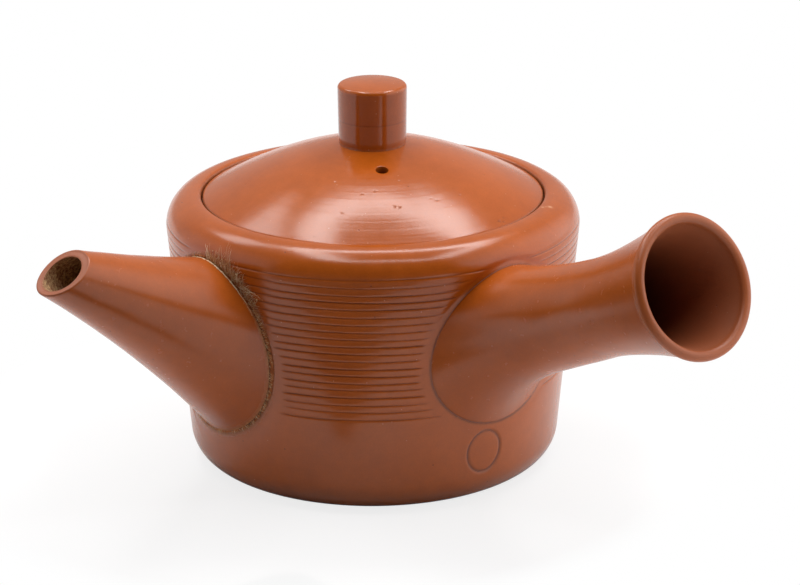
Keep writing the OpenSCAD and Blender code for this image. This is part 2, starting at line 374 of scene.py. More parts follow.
def ramp(value, *stops):
    """Colours along a value; a stop is a place and a colour, or a number for a grey."""
    n = node(value.id_data, "ValToRGB")
    elements = n.color_ramp.elements
    stops = [(place, c if isinstance(c, tuple) else grey(c)) for place, c in stops]
    elements[0].position, elements[0].color = stops[0]
    elements[1].position, elements[1].color = stops[-1]
    for place, colour in stops[1:-1]:
        elements.new(place).color = colour
    link(value, n.inputs[0])
    return n.outputs[0]


def mix(tree, factor, a, b, blend="MIX"):
    n = node(tree, "Mix", data_type="RGBA", blend_type=blend)
    feed((n.inputs["Factor"], n.inputs[6], n.inputs[7]), (factor, a, b))
    return n.outputs[2]


def noise(vector, scale, detail=3.0, roughness=0.55):
    n = node(vector.id_data, "TexNoise", Scale=scale, Detail=detail, Roughness=roughness)
    link(vector, n.inputs["Vector"])
    return n.outputs["Fac"]


def attribute(tree, name):
    return node(tree, "Attribute", attribute_name=name).outputs["Fac"]


def spots(vector, scale, size, share):
    """Small dots in a few of the cells of a cell pattern; share is the part of the cells that has one."""
    tree = vector.id_data
    cells = node(tree, "TexVoronoi", Scale=scale)
    link(vector, cells.inputs["Vector"])
    split = node(tree, "SeparateColor")
    link(cells.outputs["Color"], split.inputs[0])
    dot = ramp(cells.outputs["Distance"], (size * 0.5, 1), (size, 0))
    return times(dot, math_node("LESS_THAN", split.outputs[0], share))


def new_material(name, bare=False):
    """A material, its nodes, its shader (with bare only the output's socket) and the place on the piece."""
    material = bpy.data.materials.new(name)
    material.use_nodes = True
    tree = material.node_tree
    if bare:
        tree.nodes.clear()
    end = node(tree, "OutputMaterial").inputs[0] if bare else tree.nodes["Principled BSDF"]
    return material, tree, end, node(tree, "TexCoord").outputs["Object"]


def bump(shader, height):
    """Bump whose height is given in millimetres."""
    n = node(height.id_data, "Bump", Strength=1.0, Distance=MM)
    link(height, n.inputs["Height"])
    link(n.outputs[0], shader.inputs["Normal"])


CLAY_LIGHT = (0.462, 0.0955, 0.0080, 1)
CLAY_DEEP = (0.400, 0.080, 0.0063, 1)
# Painted shade: grooves, creases, holes, bores and the knob's side are darkened towards the next colour
PAINTED_SHADE_DARK = (0.060, 0.014, 0.004, 1)
# The next colour is the dark end of the grime, which also paints shade beside the spout's root
GRIME_AND_SHADE_DARK = (0.22, 0.062, 0.020, 1)
GRIME_BROWN = (0.31, 0.170, 0.090, 1)
GRIME_KHAKI = (0.72, 0.49, 0.25, 1)
CLAY_DULL = (0.27, 0.092, 0.048, 1)
SPECK_DARK = (0.050, 0.014, 0.006, 1)
SPECK_PALE = (0.66, 0.30, 0.15, 1)
CLAY_IOR = 1.5
# Scales of the patterns, for each metre; spots have a scale, a size and a share of the cells
CLOUD_SCALE, MOTTLE_SCALE, FINE_SCALE, GRIME_SCALE, LUMP_SCALE = 45.0, 420.0, 2600.0, 1500.0, 700.0
GRIT, DUST, NICK = (520.0, 0.11, 0.055), (760.0, 0.13, 0.08), (190.0, 0.10, 0.05)
# Heights of the bump in millimetres
FINE_BUMP, MOTTLE_BUMP, TURNED_BUMP = 0.010, 0.016, 0.022
GRIT_BUMP, NICK_BUMP, GRIME_BUMP, LUMP_BUMP, CRUMB_BUMP = -0.04, -0.03, 0.25, 0.08, 0.03
# Shares of bare clay and of painted shade in the colour, and the roughness added where grimy or bare
DULL_SHARE, PAINTED_SHADE_SHARE, DIRT_ROUGH = 0.6, 0.85, 0.45


def clay_material(name, rough, marks, grain=0.5, grime_pale=GRIME_BROWN):
    """Burnished red clay: mottling, grit, turning marks, nicks, tea stain mixed with painted shade, and
    painted shade in grooves, creases, holes, bores and on the knob's side.
    """
    material, tree, shader, place = new_material(name)
    cloudy = noise(place, CLOUD_SCALE, 4.0)
    mottle = noise(place, MOTTLE_SCALE, 4.0, 0.6)
    fine = noise(place, FINE_SCALE, 3.0, 0.6)
    base = mix(tree, ramp(cloudy, (0.34, 0), (0.66, 1)), CLAY_DEEP, CLAY_LIGHT)
    for pattern, share in ((mottle, 0.14), (fine, 0.16)):
        shade = ramp(pattern, (0.3, 0.34), (0.7, 0.66))
        base = mix(tree, share, base, shade, "OVERLAY")
    # Turning marks follow the distance along the turned profile, and wander a little round it
    spread = node(tree, "CombineXYZ")
    link(attribute(tree, "along"), spread.inputs[0])
    link(times(cloudy, 2.0), spread.inputs[1])
    turned = noise(spread.outputs[0], 1.5, 4.0, 0.7)
    shade = ramp(turned, (0.3, 0.3), (0.7, 0.7))
    base = mix(tree, 0.25 * marks, base, shade, "OVERLAY")
    # Grit, dust and nicks
    grit, dust = spots(place, *GRIT), spots(place, *DUST)
    stretched = node(tree, "Mapping", Scale=(1.0, 0.45, 2.6), Rotation=(0.5, 0.3, 0.4))
    link(place, stretched.inputs["Vector"])
    nick = spots(stretched.outputs[0], *NICK)
    for pattern, share, colour in ((grit, 0.7, SPECK_DARK), (dust, 0.6, SPECK_PALE),
                                   (nick, 0.55, SPECK_PALE)):
        base = mix(tree, times(pattern, share), base, colour)
    base = mix(tree, attribute(tree, "chip"), base, SPECK_PALE)
    # Bare clay at the lips and in the bores, grime in the spout and grime with painted shade in the joints,
    # then the painted shade of grooves, creases, holes, bores and the knob's side
    dull = times(attribute(tree, "dull"), DULL_SHARE)
    base = mix(tree, dull, base, CLAY_DULL)
    crust = noise(place, GRIME_SCALE, 5.0, 0.72)
    pale_share = ramp(crust, (0.38, 0), (0.60, 1))
    grime_colour = mix(tree, pale_share, GRIME_AND_SHADE_DARK, grime_pale)
    patchy = ramp(crust, (0.28, 0.45), (0.55, 1))
    patch = times(attribute(tree, "grime"), patchy, True)
    base = mix(tree, patch, base, grime_colour)
    base = mix(tree, times(attribute(tree, "cut"), PAINTED_SHADE_SHARE, True), base, PAINTED_SHADE_DARK)
    link(base, shader.inputs["Base Color"])
    # Burnish: rougher where dirty, with faint streaks
    streak = times(plus(mottle, -0.5), 0.08)
    ringed = times(plus(turned, -0.5), 0.12 * marks)
    dirty = times(math_node("MAXIMUM", patch, dull), DIRT_ROUGH)
    link(plus(plus(streak, ringed), plus(dirty, rough)), shader.inputs["Roughness"])
    height = times(fine, FINE_BUMP * grain)
    for pattern, size in ((mottle, MOTTLE_BUMP * grain), (turned, TURNED_BUMP * marks), (grit, GRIT_BUMP),
                          (nick, NICK_BUMP), (times(crust, patch), GRIME_BUMP)):
        height = plus(height, times(pattern, size))
    bump(shader, height)
    shader.inputs["IOR"].default_value = CLAY_IOR
    return material


CRUST_TONES = [(0.0, (0.10, 0.034, 0.013, 1)), (0.16, (0.38, 0.098, 0.026, 1)),
               (0.42, (0.50, 0.195, 0.072, 1)), (0.72, (0.66, 0.42, 0.21, 1)), (1.0, (0.90, 0.72, 0.49, 1))]
CRUST_ROUGH, CRUST_SPECULAR = 0.62, 0.2


def crust_material(name):
    """Dried slip and tea round the spout: matt, crumbly, from dark brown to pale straw."""
    material, tree, shader, place = new_material(name)
    lumps = noise(place, LUMP_SCALE, 5.0, 0.7)
    fine = noise(place, FINE_SCALE, 3.0, 0.65)
    swing = times(plus(lumps, -0.5), 0.9)
    tone = plus(attribute(tree, "pale"), swing, True)
    base = ramp(tone, *CRUST_TONES)
    base = mix(tree, 0.25, base, ramp(fine, (0.3, 0.36), (0.7, 0.72)), "OVERLAY")
    link(base, shader.inputs["Base Color"])
    link(plus(times(fine, 0.3), CRUST_ROUGH), shader.inputs["Roughness"])
    bump(shader, plus(times(lumps, LUMP_BUMP), times(fine, CRUMB_BUMP)))
    shader.inputs["Specular IOR Level"].default_value = CRUST_SPECULAR
    return material


clay_pot = clay_material("clay_pot", 0.20, 0.10, 0.7)
clay_side = clay_material("clay_side", 0.26, 0.06, 0.6, GRIME_KHAKI)
clay_lid = clay_material("clay_lid", 0.18, 0.16, 0.9)
clay_knob = clay_material("clay_knob", 0.13, 0.20)
clay_inside = clay_material("clay_inside", 0.50, 0.60, 0.9)
slip_crust = crust_material("slip_crust")


# Pot

COMB_COUNT, COMB_TOP, COMB_STEP = 20, 57.4, 1.774
COMB_ROWS = (-0.55, -0.32, -0.16, 0.0, 0.16, 0.32, 0.55)
comb_z = COMB_TOP - COMB_STEP * np.arange(COMB_COUNT) + rng.uniform(-0.10, 0.10, COMB_COUNT)
comb_phase = rng.uniform(0, TAU, (COMB_COUNT, 4))
comb_fall = np.linspace(0, 1, COMB_COUNT)
comb_to_spout = 0.9 + 1.9 * comb_fall ** 1.8 + rng.uniform(-0.3, 0.7, COMB_COUNT)
comb_to_handle = 0.8 + rng.uniform(0, 0.9, COMB_COUNT)
comb_depth = rng.uniform(0.17, 0.23, COMB_COUNT)
comb_depth[:2] *= 0.7
# Widths of the comb grooves and of the painted shade along them, and how dark that shade is
COMB_WIDTH, COMB_DARK_WIDTH, COMB_DARK, COMB_MEAN_DEPTH = 0.175, 0.115, 0.62, 0.2
COMB_SPOUT_FADE, COMB_HANDLE_FADE = 1.6, 1.4
# Under the handle: a plain oval; round the roots: troughs and a crease of painted shadow under the handle's
# overhang, at the low side and what the top adds
SEAL_TURN, SEAL_Z, SEAL_HALF, SEAL_EDGE, SEAL_FLOOR = -4.6, 12.8, (4.5, 5.0), 0.36, 0.12
THICK_TURN, THICK_WIDTH = 52.0, 30.0
TROUGH_LOW, TROUGH_MORE, CREASE_SHADE_LOW, CREASE_SHADE_MORE, SPOUT_TROUGH = 0.06, 0.20, 0.85, -0.45, 0.14
THROW_LOW, THROW_HIGH, THROW_DEPTH, THROW_PITCH = 8, 54, 0.10, 4.2
TEA_LEVEL, TEA_STAIN = 52, 0.35
RIM_CHIPS = ((40.9, 30.9, 0.55), (42.3, 32.6, 0.85), (41.5, 31.8, 0.3))


def wander(i, t):
    """How far a comb line strays up or down, at a turn round the pot."""
    f = comb_phase[i]
    return 0.05 * np.sin(2 * t + f[0]) + 0.035 * np.sin(5 * t + f[1]) + 0.015 * np.sin(17 * t + f[2])


def crust_share(angle):
    """From 0 to 1, how thick the dried slip is at an angle about the spout's axis."""
    off = (np.degrees(angle) - THICK_TURN + 180) % 360 - 180
    return bell(off, 0, THICK_WIDTH)


def pot_relief(p):
    """Depth of everything pressed or incised into the outside of the pot, and how dark each place is painted:
    painted shade in the comb lines, the crease round the handle's root and the oval's edge.
    """
    theta, z = np.arctan2(p[:, 1], p[:, 0]), p[:, 2]
    to_handle = clear_of(p, handle_r, HANDLE_AT)
    to_spout = clear_of(p, spout_r, SPOUT_AT)
    depth, dark = np.zeros(len(p)), np.zeros(len(p))
    band = (z > comb_z[-1] - 2) & (z < comb_z[0] + 2)
    t, h = theta[band], z[band]
    d, k = np.zeros(len(t)), np.zeros(len(t))
    # Each comb line is a groove with painted shade along it
    for i in range(COMB_COUNT):
        off = h - comb_z[i] - wander(i, t)
        ends = (smooth(comb_to_spout[i], comb_to_spout[i] + COMB_SPOUT_FADE, to_spout[band])
                * smooth(comb_to_handle[i], comb_to_handle[i] + COMB_HANDLE_FADE, to_handle[band]))
        f = comb_phase[i]
        press = (1 + 0.14 * np.sin(3 * t + f[3]) + 0.10 * np.sin(11 * t + f[0])) * ends
        d += comb_depth[i] * press * bell(off, 0, COMB_WIDTH)
        k += comb_depth[i] / COMB_MEAN_DEPTH * np.clip(press, 0, 1.1) * bell(off, 0, COMB_DARK_WIDTH)
    depth[band] += d
    dark[band] += COMB_DARK * k
    # Pressed trough round the handle's root with a fine crease of painted shadow in it, darkest at the low
    # side, and a softer one round the spout's
    _, out = side_coordinates(p, HANDLE_AT)
    upper = smooth(-0.45, 0.25, out @ HANDLE_AT[3] / np.maximum(np.linalg.norm(out, axis=1), 1))
    depth += (TROUGH_LOW + TROUGH_MORE * upper) * bell(to_handle, 1.0, 1.0)
    dark += (CREASE_SHADE_LOW + CREASE_SHADE_MORE * upper) * bell(to_handle, 0.10, 0.24)
    depth += SPOUT_TROUGH * bell(to_spout, 1.2, 1.3)
    # Plain oval impression under the handle, with painted shade along its edge
    turn = theta - radians(SEAL_TURN)
    x = np.where(np.abs(turn) < 0.5, turn * pot_r(z), FAR)
    oval = np.hypot(x / SEAL_HALF[0], (z - SEAL_Z) / SEAL_HALF[1])
    depth += SEAL_EDGE * bell(oval, 1, 0.060) + SEAL_FLOOR * (1 - smooth(0.9, 0.98, oval))
    dark += 0.95 * bell(oval, 1, 0.045)
    return depth, np.clip(dark, 0, 1), to_handle, to_spout


inner_foot, inner_shoulder = FOOT_R - WALL, SHOULDER_R - WALL
ceiling_turn = degrees(asin((CEILING_Z - SHOULDER_C[1]) / inner_shoulder))
floor_turn = -degrees(asin((FOOT_C[1] - FLOOR_T) / inner_foot))
normal_deg = degrees(WALL_NORMAL)
comb_rows = []
for i in range(COMB_COUNT)[::-1]:
    comb_rows += [(comb_z[i] + offset, i, i) for offset in COMB_ROWS]
    if i:
        comb_rows.append(((comb_z[i] + comb_z[i - 1]) / 2, i, i - 1))
comb_low, comb_high = comb_rows[0][0] - 0.3, comb_rows[-1][0] + 0.3

wall_foot, inner_wall_foot = on_arc(FOOT_C, FOOT_R, normal_deg), on_arc(FOOT_C, inner_foot, normal_deg)
pot_profile = [(0, 0), *line((0, 0), (FOOT_C[0], 0), 2.0), *arc(FOOT_C, FOOT_R, -90, normal_deg, 30),
               *line(wall_foot, (float(pot_r(comb_low)), comb_low), 0.35)]
comb_first = len(pot_profile) - 1
comb_turn = degrees(asin((comb_high - SHOULDER_C[1]) / SHOULDER_R))
MOUTH_ROUND = 0.5
rim_c, mouth_c = (SEAT_R + RIM_R, BODY_H - RIM_R), MOUTH_R + MOUTH_ROUND
pot_profile += [
    *((float(pot_r(z)), z) for z, _, _ in comb_rows),
    *arc(SHOULDER_C, SHOULDER_R, comb_turn, 90, 46), *arc(rim_c, RIM_R, 90, 180, 10),
    *line((SEAT_R, rim_c[1]), (SEAT_R, LEDGE_Z), 0.5, (False, True)),
    *line((SEAT_R, LEDGE_Z), (mouth_c, LEDGE_Z), 0.8),
    *arc((mouth_c, LEDGE_Z - MOUTH_ROUND), MOUTH_ROUND, 90, 180, 6),
    *line((MOUTH_R, LEDGE_Z - MOUTH_ROUND), (MOUTH_R, CEILING_Z + MOUTH_ROUND), 0.6),
    *arc((mouth_c, CEILING_Z + MOUTH_ROUND), MOUTH_ROUND, 180, 270, 6),
    *line((mouth_c, CEILING_Z), on_arc(SHOULDER_C, inner_shoulder, ceiling_turn), 1.5),
    *arc(SHOULDER_C, inner_shoulder, ceiling_turn, normal_deg, 6),
    *line(on_arc(SHOULDER_C, inner_shoulder, normal_deg), inner_wall_foot, 1.0),
    *arc(FOOT_C, inner_foot, normal_deg, floor_turn, 10),
    *line(on_arc(FOOT_C, inner_foot, floor_turn), (0, FLOOR_T), 2.0, (False, True))]

POT_COLUMNS = 900
verts, faces = lathe(pot_profile, POT_COLUMNS)
turns = circle(POT_COLUMNS)
for k, (z, i, j) in enumerate(comb_rows):
    row = slice((comb_first + k) * POT_COLUMNS, (comb_first + k + 1) * POT_COLUMNS)
    height = z + (wander(i, turns) + wander(j, turns)) / 2
    radius = pot_r(height)
    verts[row] = np.column_stack([radius * np.cos(turns), radius * np.sin(turns), height])
pot = make_object("pot_shell", verts, faces, "pot", "pot_body", clay_pot)
bore_ends = [(*on_arc((0, 0), r, SPOUT["turn"]), BORE_Z) for r in (BORE_FROM, BORE_TO)]
boolean_cut(pot, *cylinder(*bore_ends, BORE_R))
p = points_mm(pot)
z = p[:, 2]
rho = axis_r(p)
outer = (rho > pot_r(np.clip(z, 0, BODY_H)) - 0.2) & (z > 0.3)
depth, dark, to_handle, to_spout = pot_relief(p)
sway = 0.030 * Waves(16.0, seed=3)(p) + 0.008 * Waves(5.0, seed=4)(p)
move = np.where(outer & (z < BODY_H - 0.2), depth - sway * smooth(1.0, 5.0, z), 0)
p -= move[:, None] * pot_normal(p)
inside = ~outer & (z > FLOOR_T - 0.4) & (rho < SEAT_R + 6)
thrown = inside & (z > THROW_LOW) & (z < THROW_HIGH)
throwing = np.where(thrown, THROW_DEPTH * np.sin(z * TAU / THROW_PITCH), 0)
p[:, :2] *= (1 - throwing / np.maximum(rho, 1))[:, None]
move_points(pot, p)
_, spout_out = side_coordinates(p, SPOUT_AT)
thick = crust_share(np.arctan2(spout_out @ SPOUT_AT[3], spout_out @ SPOUT_AT[2]))
# Grime and painted shade on the wall beside the spout's root
seam_grime = 0.75 * bell(np.clip(to_spout, 0, None) / (0.9 + 1.5 * thick), 0, 1)
seat_dirt = 0.45 * bell(rho, SEAT_R, 0.25) * (z > LEDGE_Z - 0.5)
tea = np.where(inside & (z < TEA_LEVEL), TEA_STAIN, 0)
chip = np.zeros(len(p))
for r, turn, size in RIM_CHIPS:
    x, y = on_arc((0, 0), r, turn)
    chip += bell(axis_r(p, x, y), 0, size * 0.6) * (z > BODY_H - 2)
# Painted shade outside in the comb lines, crease and oval edge; tea and dirt inside
paint(pot, along=np.where(outer, z + np.where(z > 60, 47 - rho, 0), z + 100 + rho),
      grime=np.where(outer, seam_grime, np.maximum(tea, seat_dirt)), cut=np.where(outer, dark, 0),
      chip=np.clip(chip, 0, 1))


# Spout

def spout_tip(angle, radius):
    """Distance of the slanted tip's plane for a line at an angle and radius from the axis."""
    return radius * np.sin(angle) * tan(radians(SPOUT_CUT))


def side_piece(name, replaced, rings, angle, where, swells):
    """A hollow side piece from its rings (distance back, radius), with slow hand-made swells."""
    verts = np.stack([side_point(s, angle, r, where) for s, r in rings]).reshape(-1, 3)
    back, out = side_coordinates(verts, where)
    out /= np.maximum(np.linalg.norm(out, axis=1), 1e-6)[:, None]
    move = sum(size * Waves(wavelength, seed=seed)(verts) for wavelength, size, seed in swells)
    verts = verts + out * move[:, None]
    faces = ring_faces(len(rings), len(angle), True)
    return make_object(name, verts, faces, "pot", replaced, clay_side), verts, back


INSET, LIP_DULL = 0.6, 0.8
SPOUT_COLUMNS, SPOUT_RINGS, SPOUT_BORE_RINGS, SPOUT_SHINY_RINGS = 320, 150, 80, 153
angle = circle(SPOUT_COLUMNS)
out_root = root_distance(angle, spout_r, SPOUT_AT, INSET)
in_root = root_distance(angle, spout_bore_r, SPOUT_AT, INSET)
LIP_OUT, LIP_IN = 0.34, 0.18
rings = []
tip_out, tip_in = spout_tip(angle, SPOUT_TIP_R), spout_tip(angle, SPOUT_TIP_R - SPOUT_TIP_WALL)
quarter, flat = np.linspace(0, pi / 2, 8)[1:], np.linspace(0, 1, 5)[1:]
for t in np.linspace(1, 0, SPOUT_RINGS):
    s = tip_out + LIP_OUT + (out_root - tip_out - LIP_OUT) * t
    rings.append((s, spout_r(s)))
for x in quarter:
    s = tip_out + LIP_OUT * (1 - sin(x))
    rings.append((s, spout_r(s) - LIP_OUT * (1 - cos(x))))
for t in flat:
    s = tip_out + (tip_in - tip_out) * t
    outside, within = spout_r(tip_out) - LIP_OUT, spout_bore_r(tip_in) + LIP_IN
    rings.append((s, outside + (within - outside) * t))
for x in quarter:
    s = tip_in + LIP_IN * (1 - cos(x))
    rings.append((s, spout_bore_r(s) + LIP_IN * (1 - sin(x))))
for t in np.linspace(0, 1, SPOUT_BORE_RINGS)[1:]:
    s = tip_in + LIP_IN + (in_root - tip_in - LIP_IN) * t
    rings.append((s, spout_bore_r(s)))
SPOUT_SWELLS = ((13.0, 0.05, 8), (4.0, 0.008, 9))
spout, verts, back = side_piece("spout_shell", "spout", rings, angle, SPOUT_AT, SPOUT_SWELLS)
outer_rings = SPOUT_RINGS + len(quarter) + len(flat)
inner_share = np.concatenate([np.zeros(outer_rings), 0.5 * quarter / (pi / 2),
                              np.ones(SPOUT_BORE_RINGS - 1)])
inner_share = np.repeat(inner_share, SPOUT_COLUMNS)
# Grime and painted shade on the spout close to the wall; tea stain inside the spout
root_grime = 0.45 * bell(wall_gap(verts), 0, 0.45)
lip = np.where(np.arange(len(rings)) < SPOUT_SHINY_RINGS, 0.0, LIP_DULL)
paint(spout, along=back, grime=np.where(inner_share > 0, inner_share, root_grime),
      dull=np.repeat(lip, SPOUT_COLUMNS))


# Handle, with its beaded lip; its neck stays slim and spreads late, close to the wall

ROOT_FILLET, ROOT_BEND, NECK_GROWTH, THIN_WALL = 26.0, 2.2, 0.025, 1.9


def handle_tube_r(s):
    """Radius of the handle without its spread root."""
    return HANDLE_NECK_R + handle_flare(s) + NECK_GROWTH * np.clip(s - HANDLE_NECK_AT, 0, None)


def handle_line_r(s, root):
    """Outside radius along lines that reach the wall at the root's distances."""
    near = 1 - np.clip((root - s) / ROOT_FILLET, 0, 1)
    return handle_tube_r(s) + (handle_r(root) - handle_tube_r(root)) * near ** ROOT_BEND


HANDLE_COLUMNS, HANDLE_RINGS, LIP_RINGS, HANDLE_BORE_RINGS = 340, 170, 40, 100
angle = circle(HANDLE_COLUMNS)
out_root = root_distance(angle, handle_r, HANDLE_AT, INSET)
in_root = root_distance(angle, handle_bore_r, HANDLE_AT, INSET)
wall_root = root_distance(angle, handle_r, HANDLE_AT)
LIP_C = HANDLE_END_R - HANDLE_LIP_R
LIP_START, LIP_STOP, LIP_JOIN, LIP_EASE = 148, -88, 2.75, 1.5
CREASE_AT, CREASE_DEPTH = 2.45, 0.13
rings = []
for t in np.linspace(1, 0, HANDLE_RINGS):
    s = LIP_JOIN + (out_root - LIP_JOIN) * t
    rings.append((s, handle_line_r(s, wall_root)))
lip_line = [(CREASE_AT, float(handle_r(CREASE_AT)) - CREASE_DEPTH)]
for x in np.radians(np.linspace(LIP_START, LIP_STOP, LIP_RINGS)):
    lip_line.append((HANDLE_LIP_R * (1 - cos(x)), LIP_C + HANDLE_LIP_R * sin(x)))
rings += [(np.full(HANDLE_COLUMNS, s), np.full(HANDLE_COLUMNS, r)) for s, r in lip_line]
lip_s, lip_r = rings[-1]
for t in np.linspace(0, 1, HANDLE_BORE_RINGS)[1:]:
    s = lip_s + (in_root - lip_s) * t
    ease = np.exp(-(s - lip_s) / LIP_EASE)
    bore = np.minimum(handle_bore_r(s), handle_line_r(s, wall_root) - THIN_WALL)
    rings.append((s, bore * (1 - ease) + lip_r * ease))
HANDLE_SWELLS = ((16.0, 0.05, 18), (5.0, 0.008, 19))
handle, verts, back = side_piece("handle_shell", "handle", rings, angle, HANDLE_AT, HANDLE_SWELLS)
lip_from, bore_from = HANDLE_RINGS + 1, HANDLE_RINGS + 1 + LIP_RINGS
lip = np.ones(len(rings))
lip[:lip_from], lip[lip_from:bore_from] = 0, np.linspace(0, LIP_DULL, LIP_RINGS)
within = np.repeat(np.arange(len(rings)) >= bore_from, HANDLE_COLUMNS)
# Painted shade in the bore, darker further in, and a darker line where the handle meets the wall
root_line = 0.30 * bell(wall_gap(verts), 0, 0.15)
paint(handle, along=back, cut=np.where(within, 0.95 * smooth(5, 28, back), root_line),
      dull=np.repeat(lip, HANDLE_COLUMNS))


# Seams

def rings_along(path, tangent, u, radius, height=1.0):
    """Rings of points about a path; radius has a row for each place and a column for each side."""
    v = np.cross(tangent, u)
    a = circle(radius.shape[1])[None, :, None]
    ring = height * np.cos(a) * u[:, None, :] + np.sin(a) * v[:, None, :]
    return (path[:, None, :] + radius[..., None] * ring).reshape(-1, 3)


def tube(path, normal, radius, height):
    """A closed flattened tube along a closed path."""
    tangent = unit(np.roll(path, -1, 0) - np.roll(path, 1, 0))
    u = unit(normal - (normal * tangent).sum(1)[:, None] * tangent)
    return rings_along(path, tangent, u, radius, height), ring_faces(*radius.shape, True)


def onto_wall(path, lift):
    """Puts points on the pot's outside, lifted off it by a distance."""
    path = np.array(path)
    path[:, 2] = np.clip(path[:, 2], 0.5, BODY_H - 0.6)
    path[:, :2] *= (pot_r(path[:, 2]) / axis_r(path))[:, None]
    return path + np.asarray(lift)[..., None] * pot_normal(path)


def crumb(centre, size, r):
    """A small rough ball of a few rings."""
    rows, columns = 5, 8
    lat = np.linspace(-pi / 2, pi / 2, rows + 2)[1:-1]
    lon = circle(columns)
    g = np.stack([np.cos(lat)[:, None] * np.cos(lon), np.cos(lat)[:, None] * np.sin(lon),
                  np.sin(lat)[:, None] + 0 * lon], -1).reshape(-1, 3)
    g = np.vstack([g, [[0, 0, -1], [0, 0, 1]]]) * r.uniform(0.65, 1.25, (rows * columns + 2, 1))
    g = g * r.uniform(0.6, 1.3, 3) * size
    turn = np.linalg.qr(r.normal(size=(3, 3)))[0]
    return g @ turn.T + centre, ring_faces(rows, columns) + end_fans(rows, columns)


def fibre(path, radius):
    """A thin tapered thread along a path."""
    sides, steps = 5, len(path)
    tangent = unit(np.gradient(path, axis=0))
    u = unit(np.cross(tangent, [0.3, 0.5, 0.81]))
    width = radius * (1 - 0.8 * np.linspace(0, 1, steps) ** 2)
    ends = [list(range(sides))[::-1], list(range((steps - 1) * sides, steps * sides))]
    points = rings_along(path, tangent, u, np.repeat(width[:, None], sides, 1))
    return points, ring_faces(steps, sides) + ends


def seam_line(angle, radius_of, where):
    """Where a side piece meets the wall: distances back, points and the wall's outward directions."""
    s = root_distance(angle, radius_of, where)
    path = side_point(s, angle, radius_of(s), where)
    return s, path, pot_normal(path)


SEAM_N, BED_SIDES, EDGE_SIDES, LINE_SIDES = 900, 14, 8, 10
CRUMBS, FIBRES, FIBRE_STEPS = 520, 560, 8
# Widths and distances in millimetres; pale goes from 0, dark brown, to 1, straw
seam_angle = circle(SEAM_N)
seam_s, seam_path, seam_normal = seam_line(seam_angle, spout_r, SPOUT_AT)
thick = crust_share(seam_angle)
seam_degrees = (np.degrees(seam_angle) + 180) % 360 - 180
front, right_side = bell(seam_degrees, -40, 60), bell(seam_degrees, -5, 38)
_, seam_out = side_coordinates(seam_path, SPOUT_AT)
seam_out = unit(seam_out - (seam_out * seam_normal).sum(1)[:, None] * seam_normal)
seam_along = np.cross(seam_normal, seam_out)
lumps = Waves(2.2, seed=21)(seam_path)
bed_r = np.clip(0.26 + 0.50 * thick + 0.30 * right_side + 0.14 * lumps * (0.5 + thick), 0.14, 1.2)
grit = Waves(0.8, seed=22)
bed_off = 0.15 + 0.75 * thick + 0.40 * right_side
bed_path = onto_wall(seam_path + seam_out * bed_off[:, None], np.zeros(SEAM_N))
a = circle(BED_SIDES)
bed_noise = grit(bed_path[:, None, :] + 0.6 * np.stack([np.cos(a), np.sin(a), 0 * a], -1)[None])
bed_size = np.clip(bed_r[:, None] * (1 + 0.30 * bed_noise), 0.1, 1.7)
bed_v, bed_f = tube(bed_path, seam_normal, bed_size, 0.13)
bed_pale = np.repeat(0.17 + 0.20 * thick + 0.30 * bell(seam_degrees, -95, 35), BED_SIDES)
# Darker next to the spout: painted shade where the slip meets it
bed_pale -= 0.30 * bell(clear_of(bed_v, spout_r, SPOUT_AT), 0.02, 0.22)
parts, pale = [(bed_v, bed_f)], [np.clip(bed_pale + 0.14 * Waves(1.6, seed=31)(bed_v), 0, 1)]
crumb_chance = 0.16 + 0.84 * thick + 0.30 * front
for _ in range(CRUMBS):
    j = int(rng.integers(SEAM_N))
    if rng.random() > crumb_chance[j]:
        continue
    reach = abs(rng.normal(0, 0.35 + 1.5 * thick[j])) + 0.1
    spot = onto_wall([seam_path[j] + seam_out[j] * reach], [0.06])[0]
    part = crumb(spot, rng.uniform(0.05, 0.14 + 0.08 * thick[j]), rng)
    parts.append(part)
    pale.append(np.full(len(part[0]), rng.uniform(0.2, 0.9)))
fibre_chance = 0.07 + 0.93 * thick + 0.12 * front
bend_t = np.linspace(0, 1, FIBRE_STEPS)[:, None]
made = 0
while made < FIBRES:
    j = int(rng.integers(SEAM_N))
    if rng.random() > fibre_chance[j]:
        continue
    made += 1
    reach = rng.uniform(0.5, 1.1 + 2.9 * thick[j])
    lean, bend = rng.normal(0, 0.65), rng.normal(0, 0.35)
    start = seam_path[j] + seam_out[j] * rng.uniform(-0.1, 0.2 + 1.1 * thick[j])
    path = start + reach * (seam_out[j] * bend_t + seam_along[j] * (lean * bend_t + bend * bend_t ** 2))
    lift = rng.uniform(0.05, 0.12 + 0.55 * thick[j])
    part = fibre(onto_wall(path, 0.05 + lift * np.sin(bend_t[:, 0] * 2.4)), rng.uniform(0.025, 0.058))
    parts.append(part)
    pale.append(np.full(len(part[0]), rng.uniform(0.40, 1.0)))
# Pale dried edge where the slip thins out on the spout's upper side
edge_s = seam_s - 0.55 - 0.15 * lumps
edge_path = side_point(edge_s, seam_angle, spout_r(edge_s), SPOUT_AT)
edge_r = 0.02 + 0.25 * np.clip(bell(seam_degrees, 72, 38) * (1 + 0.7 * grit(edge_path)), 0, 1.4)
_, edge_out = side_coordinates(edge_path, SPOUT_AT)
edge_out = unit(edge_out)
edge_part = tube(edge_path - 0.03 * edge_out, edge_out, np.repeat(edge_r[:, None], EDGE_SIDES, 1), 0.6)
parts.append(edge_part)
pale.append(np.full(len(edge_part[0]), 0.95))
all_faces, count = [], 0
for v, f in parts:
    all_faces += [[x + count for x in face] for face in f]
    count += len(v)
verts = np.vstack([v for v, _ in parts])
seam = make_object("spout_seam_crust", verts, all_faces, "pot", "spout_seam", slip_crust)
paint(seam, pale=np.concatenate(pale))

